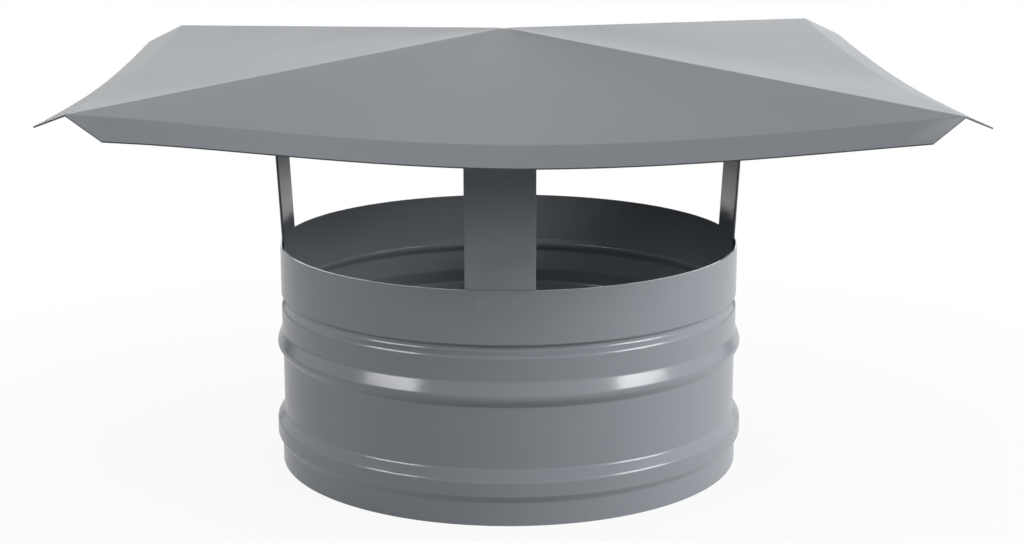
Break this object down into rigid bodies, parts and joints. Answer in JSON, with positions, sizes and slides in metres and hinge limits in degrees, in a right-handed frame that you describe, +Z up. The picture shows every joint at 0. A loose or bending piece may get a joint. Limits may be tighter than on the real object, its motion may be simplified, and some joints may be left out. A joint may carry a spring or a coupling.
{
  "type": "chinese hat flue cap",
  "caption": "Square pointed hat of creased sheet on bent straps over a beaded collar that sockets onto a round flue pipe; keeps rain out and lets the flue gas leave at the sides.",
  "frame": {"origin": "on the collar's axis, at the collar's lower edge", "axes": "+Z up along the collar's axis; the hat's sides face +X, -X, +Y and -Y, and the front of the picture is the -Y side"},
  "size_m": [0.347, 0.347, 0.1892],
  "materials": {
    "grey_coat": "grey powder coat, satin, a little darker in folds and at welds"
  },
  "bodies": {
    "root": {"canopy": "grey_coat", "collar": "grey_coat", "front_strap": "grey_coat", "right_strap": "grey_coat", "back_strap": "grey_coat", "left_strap": "grey_coat", "collar_spot_welds": "grey_coat", "canopy_spot_welds": "grey_coat"}
  },
  "joints": []
}
